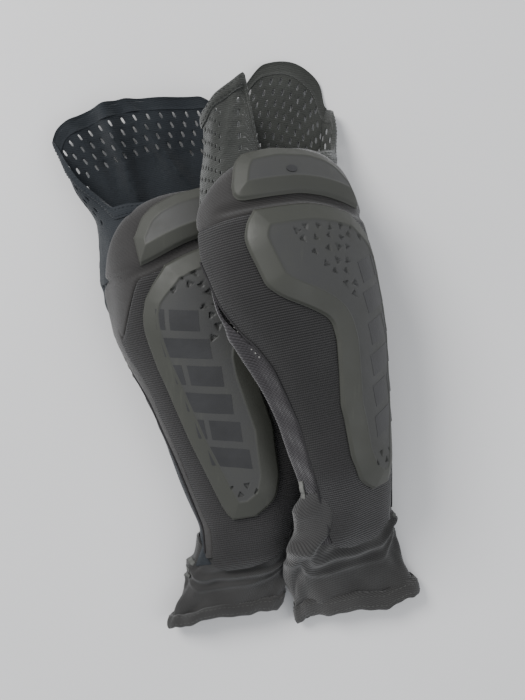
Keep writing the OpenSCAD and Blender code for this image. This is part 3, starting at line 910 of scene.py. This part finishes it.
def perforated_sleeve(g):
    """Stretch mesh with rows of slots cut through it, staggered from row to row."""
    columns, rows = SLEEVE_COLUMNS, SLEEVE_ROWS
    places, faces, seen = [], [], {}

    def corner(i, j):
        key = (round((i % columns) * 64), round(j * 64))
        if key not in seen:
            seen[key] = len(places)
            places.append((i % columns, j))
        return seen[key]

    for j in range(rows):
        for k in range(columns // 2):
            i = 2 * k + j % 2
            ring = [(i, j), (i + 1, j), (i + 2, j), (i + 2, j + 0.5),
                    (i + 2, j + 1), (i + 1, j + 1), (i, j + 1), (i, j + 0.5)]
            at_u = (-180 + 360 * (i + 1) / columns) * OUT_SIGN[g]
            at_u = (at_u + 180) % 360 - 180
            row_gap = float(rim(g, at_u) - sleeve_foot(at_u)) / rows
            from_rim = row_gap * (rows - j - 0.5)
            doubled = g == RIGHT and -130 < at_u < -60
            wide, half_length = FOLDED_SLOT if doubled else SLOT
            tall = half_length / max(row_gap, TIGHT_ROW)
            left, mid, right = i + 1 - wide, i + 1, i + 1 + wide
            low, high = j + 0.5 - tall, j + 0.5 + tall
            slot = [(left, low), (mid, j + 0.42 - tall), (right, low), (right, j + 0.5),
                    (right, high), (mid, j + 0.58 + tall), (left, high), (left, j + 0.5)]
            outer = [corner(*c) for c in ring]
            inner = [corner(*c) for c in slot]
            for m in range(8):
                n = (m + 1) % 8
                faces.append([outer[m], outer[n], inner[n], inner[m]])
            if not (row_gap > LEAST_ROW and RIM_H < from_rim < SLOT_BAND[g]):
                for corners_of_fill in ((7, 0, 1, 2), (7, 2, 3, 6), (6, 3, 4, 5)):
                    faces.append([inner[m] for m in corners_of_fill])
    places = np.array(places, float)
    u = (-180 + 360 * places[:, 0] / columns) * OUT_SIGN[g]
    s = sleeve_foot(u) + (rim(g, u) - 2 - sleeve_foot(u)) * places[:, 1] / rows
    o = sleeve_offset(g, u, s)
    outer = off_skin(g, u, s, o)
    inner = off_skin(g, u, s, o - SLEEVE_THICK)
    outer[:, 2] = np.maximum(outer[:, 2], 0.4)
    inner[:, 2] = np.maximum(inner[:, 2], 1.0)
    uv = np.stack([arc(g, u, s), s], -1)
    points, quads = walled(outer, inner, np.array(faces))
    sleeve = mesh_object(f"{SIDES[g]}_perforated_sleeve", points, quads, np.tile(uv, (2, 1)))
    refine(sleeve, 1)
    # Painted shade and light: the left guard's sleeve takes the darker copy of the fabric, painted shade,
    # and the right guard's takes the paler copy, painted light.
    return put(sleeve, g, "knee", "sleeve_mesh", ["thigh_sleeve"], SLEEVE_PAINTED_SHADE_AND_LIGHT[g])


def refine(obj, levels):
    """Apply a subdivision surface, keeping the result as the mesh."""
    modifier = obj.modifiers.new("smooth", "SUBSURF")
    modifier.levels = modifier.render_levels = levels
    view = bpy.context.evaluated_depsgraph_get()
    mesh = bpy.data.meshes.new_from_object(obj.evaluated_get(view))
    obj.modifiers.clear()
    obj.data = mesh


def thigh_hem(g):
    """Folded hem round the sleeve's mouth, with two rows of stitches."""
    line = lambda p, q: (-180 + 360 * p, rim(g, -180 + 360 * p) - RIM_H + RIM_H * q)

    def offset(u, s):
        roll = 0.8 * np.sin(np.clip((s - rim(g, u) + RIM_H) / RIM_H, 0, 1) * math.pi)
        return -1.9 + roll + drape(g, u, s) - 3.2 * smooth((36 - np.abs(u)) / 14)

    hem = cloth(f"{SIDES[g]}_mouth_hem", g, 180, 8, line, offset, 2.6, wrap=True)
    # Painted shade and light: the hem and its stitches take the darker copy on the left guard, painted
    # shade, and the paler copy on the right guard, painted light.
    put(hem, g, "thigh", "hem_knit", ["thigh_hem", "thigh_gripper"], SLEEVE_PAINTED_SHADE_AND_LIGHT[g])
    u = np.linspace(-180, 180, 361)
    for k, back in enumerate((2.2, 7.2)):
        s = rim(g, u) - back
        row = stitch_row(f"{SIDES[g]}_mouth_stitches_{k}", g, u, s, offset(u, s))
        put(row, g, "thigh", "hem_knit", thread_and_painted_light=SLEEVE_PAINTED_SHADE_AND_LIGHT[g])


# ---------------------------------------------------------------- calf cuff
def cuff_flare(g, u, s):
    """The right cuff is splayed outwards towards its hem, and stands out beside the shin's tip."""
    splay = 8 * smooth((54 - s) / 50) * hump(u, 88, 34)
    beside = 9 * smooth((s - 10) / 40) * smooth((103 - s) / 16) * hump(u, -106, 24)
    return (splay + beside) * (g == RIGHT)


def hem_wave(g, u):
    """How far the cuff's edge wanders along the leg."""
    a = np.radians(u)
    return 2.0 * np.sin(3 * a + 1 + 2 * g) + 1.1 * np.sin(7 * a + g) + 0.4 * np.sin(19 * a)


def cuff_offset(g, u, s):
    """Knit tube with soft folds, a rolled fold round the end of the pad, and raised sides."""
    a, beside = np.radians(u), smooth((np.abs(u) - 30) / 45)
    fold_s = 45 + 2 * np.sin(a + g) + 15 * beside
    rolled = 3.0 * hump(s, fold_s, 3.6) + 1.4 * np.exp(-((s - fold_s + 11) / 2.8) ** 2)
    inside = smooth((s - 56) / 12) * (1 - beside)
    soft = (1.1 * np.sin(5 * a + s / 11 + 2 * g) + 0.6 * np.sin(8 * a - s / 8 + 1)
            + 0.25 * np.sin(13 * a + s / 6) + 0.5 * np.sin(3 * a + s / 5 + g))
    over_side = 2.8 * smooth((np.abs(u) - 52) / 14) * smooth((s - 50) / 14) * smooth((150 - np.abs(u)) / 12)
    calm = 1 - 0.75 * smooth((s - 60) / 16)
    folds = (rolled * smooth((118 - np.abs(u)) / 30) + soft) * (1 - inside) * calm
    return -2.4 + folds + over_side + cuff_flare(g, u, s)


def calf_cuff(g):
    """Knit tube from the calf hem to under the pad, reaching higher beside the shin's tip."""
    def line(p, q):
        u = -180 + 360 * p
        inner_rise = (8, 30)[g] * smooth((-u - 46) / 34) * smooth((150 + u) / 20)
        outer_rise = 12 * smooth((u - 46) / 30) * smooth((150 - u) / 20)
        s = 1 + (71 + inner_rise + outer_rise) * q
        return u, s + hem_wave(g, u) * (1 - smooth(s / 40))

    cuff = cloth(f"{SIDES[g]}_cuff_tube", g, 150, 80, line,
                 lambda u, s: cuff_offset(g, u, s), 1.4, wrap=True)
    return put(cuff, g, "ankle", "cuff_knit", ["calf_cuff", "cuff_gusset", "ankle_sleeve"])


def calf_hem(g):
    """Folded hem of the cuff, with two rows of stitches."""
    line = lambda p, q: (-180 + 360 * p, HEM_H * q + hem_wave(g, -180 + 360 * p))

    def offset(u, s):
        roll = 1.6 * np.sin(np.clip((s - hem_wave(g, u)) / HEM_H, 0, 1) * math.pi) ** 0.5
        wavy = 0.7 * np.sin(np.radians(u) * 5 + 2 * g) + 0.4 * np.sin(np.radians(u) * 13)
        return -1.4 + roll + wavy + cuff_flare(g, u, s)

    hem = cloth(f"{SIDES[g]}_cuff_hem", g, 150, 10, line, offset, 2.2, wrap=True)
    put(hem, g, "cuff", "cuff_knit", ["calf_hem"])
    u = np.linspace(-180, 180, 361)
    for k, up in enumerate((3.2, 10.2)):
        s = up + hem_wave(g, u)
        row = stitch_row(f"{SIDES[g]}_cuff_stitches_{k}", g, u, s, offset(u, s))
        put(row, g, "cuff", "cuff_knit", thread_and_painted_light=thread_dark)


def cuff_print(g):
    """Raised rubber grip bars on the outer side of the ankle."""
    made = []
    for i in range(3):
        line = lambda p, q: (62 + 30 * p, 50 + 6 * i + 3 * q + 2 * np.sin(p * math.pi))
        made.append(cloth(f"{SIDES[g]}_grip_{i}", g, 14, 3, line,
                          lambda u, s: np.maximum(cuff_offset(g, u, s), -1.6) + 0.7, 1.0, sharp=30))
    grip = joined(made, f"{SIDES[g]}_grip_bars")
    return put(grip, g, "shin", "print_rubber", ["cuff_grip_print"])


# ---------------------------------------------------------------- foam and lining
def soft_block(g, name, slot, u0, u1, s0, s1, inner, outer, replaced, body="shin"):
    """A foam sheet with rounded edges, between two depths below the skin."""
    def line(p, q):
        u = u0 + (u1 - u0) * p
        top = s1(u) if callable(s1) else s1
        return u, s0 + (top - s0) * q

    u, s = patch_us(g, 24, 40, line)
    p, q = np.meshgrid(np.linspace(0, 1, 25), np.linspace(0, 1, 41))
    rounded = (np.minimum(1, 9 * np.minimum(p, 1 - p)) * np.minimum(1, 12 * np.minimum(q, 1 - q))) ** 0.4
    half = (outer - inner) / 2 * (0.25 + 0.75 * rounded)
    mid = (outer + inner) / 2
    faces = grid_faces(*u.shape)
    points, faces = walled(off_skin(g, u, s, mid + half).reshape(-1, 3),
                           off_skin(g, u, s, mid - half).reshape(-1, 3), faces)
    uv = np.tile(np.stack([arc(g, u, s), s], -1).reshape(-1, 2), (2, 1))
    block = mesh_object(f"{SIDES[g]}_{name}", points, faces, uv)
    return put(block, g, body, slot, replaced)


def foams(g):
    """Foams and lining, each given by its angles, its places and its depths below the skin."""
    under_gap = lambda u: gap_s(u) - 6
    soft_block(g, "knee_core", "impact_foam", -78, 56, 207, under_gap, -12, -2.6, ["knee_foam"])
    soft_block(g, "shin_core", "impact_foam", -56, 37, 89, 202, -12, -2.6, ["shin_foam"])
    soft_block(g, "inner_core", "impact_foam", -103, -84, 168, 262, -8, -3, ["inner_side_foam"])
    soft_block(g, "outer_core", "impact_foam", 62, 100, 168, 262, -8, -3, ["outer_side_foam"])
    soft_block(g, "pad_lining", "liner_knit", -56, 38, 96, under_gap, -14, -12.8, ["pad_liner"])
    thigh_top = lambda u: pad_top(u) - 12
    soft_block(g, "thigh_core", "impact_foam", -58, 30, 302, thigh_top, -9, -3.4, ["thigh_foam"],
               "thigh")


# ---------------------------------------------------------------- table, light and camera
def table_top():
    mesh = bpy.data.meshes.new("table_top")
    half, level = 2.5, -0.0003
    mesh.from_pydata([(-half, -half, level), (half, -half, level), (half, half, level),
                      (-half, half, level)], [], [(0, 1, 2, 3)])
    top = bpy.data.objects.new("table_top", mesh)
    bpy.context.collection.objects.link(top)
    n = Nodes("table_paint")
    tone = n.span(n.noise(3, 3), 0.3, 0.7)
    n.feed(n.shader, "Base Color", n.mix(tone, (0.67, 0.665, 0.665, 1), (0.72, 0.715, 0.715, 1)))
    n.shader.inputs["Roughness"].default_value = 0.55
    mesh.materials.append(n.material)


def area_light(name, at, size, power, colour=(1, 1, 1)):
    data = bpy.data.lights.new(name, "AREA")
    data.shape = "DISK"
    data.size = size
    data.energy = power
    data.color = colour
    lamp = bpy.data.objects.new(name, data)
    bpy.context.collection.objects.link(lamp)
    lamp.location = at
    lamp.rotation_euler = (-lamp.location).to_track_quat("-Z", "Y").to_euler()


def lights():
    world = bpy.data.worlds.new("room")
    world.use_nodes = True
    sky = world.node_tree.nodes["Background"]
    sky.inputs[0].default_value = (0.93, 0.96, 1.0, 1)
    sky.inputs[1].default_value = 0.84
    bpy.context.scene.world = world
    area_light("window", (-1.5, 1.3, 1.7), 1.2, 68, (1.0, 0.99, 0.98))
    area_light("fill", (1.6, -0.6, 1.6), 1.5, 11)


def camera():
    data = bpy.data.cameras.new("camera")
    data.sensor_fit = "VERTICAL"
    data.angle = math.radians(44.5)
    data.clip_start = 0.01
    obj = bpy.data.objects.new("camera", data)
    bpy.context.collection.objects.link(obj)
    obj.location = (0.0162, -0.0059, 0.65)
    bpy.context.scene.camera = obj


def guard(g):
    """Every piece of one guard."""
    shin_plate(g)
    plate_bars(g)
    thigh_plate(g)
    thigh_badge(g)
    ribbed_cover(g)
    outer_crescent(g)
    knee_knit(g)
    for side in (-1, 1):
        side_panel(g, side)
        piping(g, side)
    tag(g, "inner", -102, -94, 90, 112)
    tag(g, "outer", 77, 86, 210, 230)
    back_mesh(g)
    perforated_sleeve(g)
    thigh_hem(g)
    calf_cuff(g)
    calf_hem(g)
    cuff_print(g)
    foams(g)


camera()
lights()
table_top()
for g in (LEFT, RIGHT):
    guard(g)
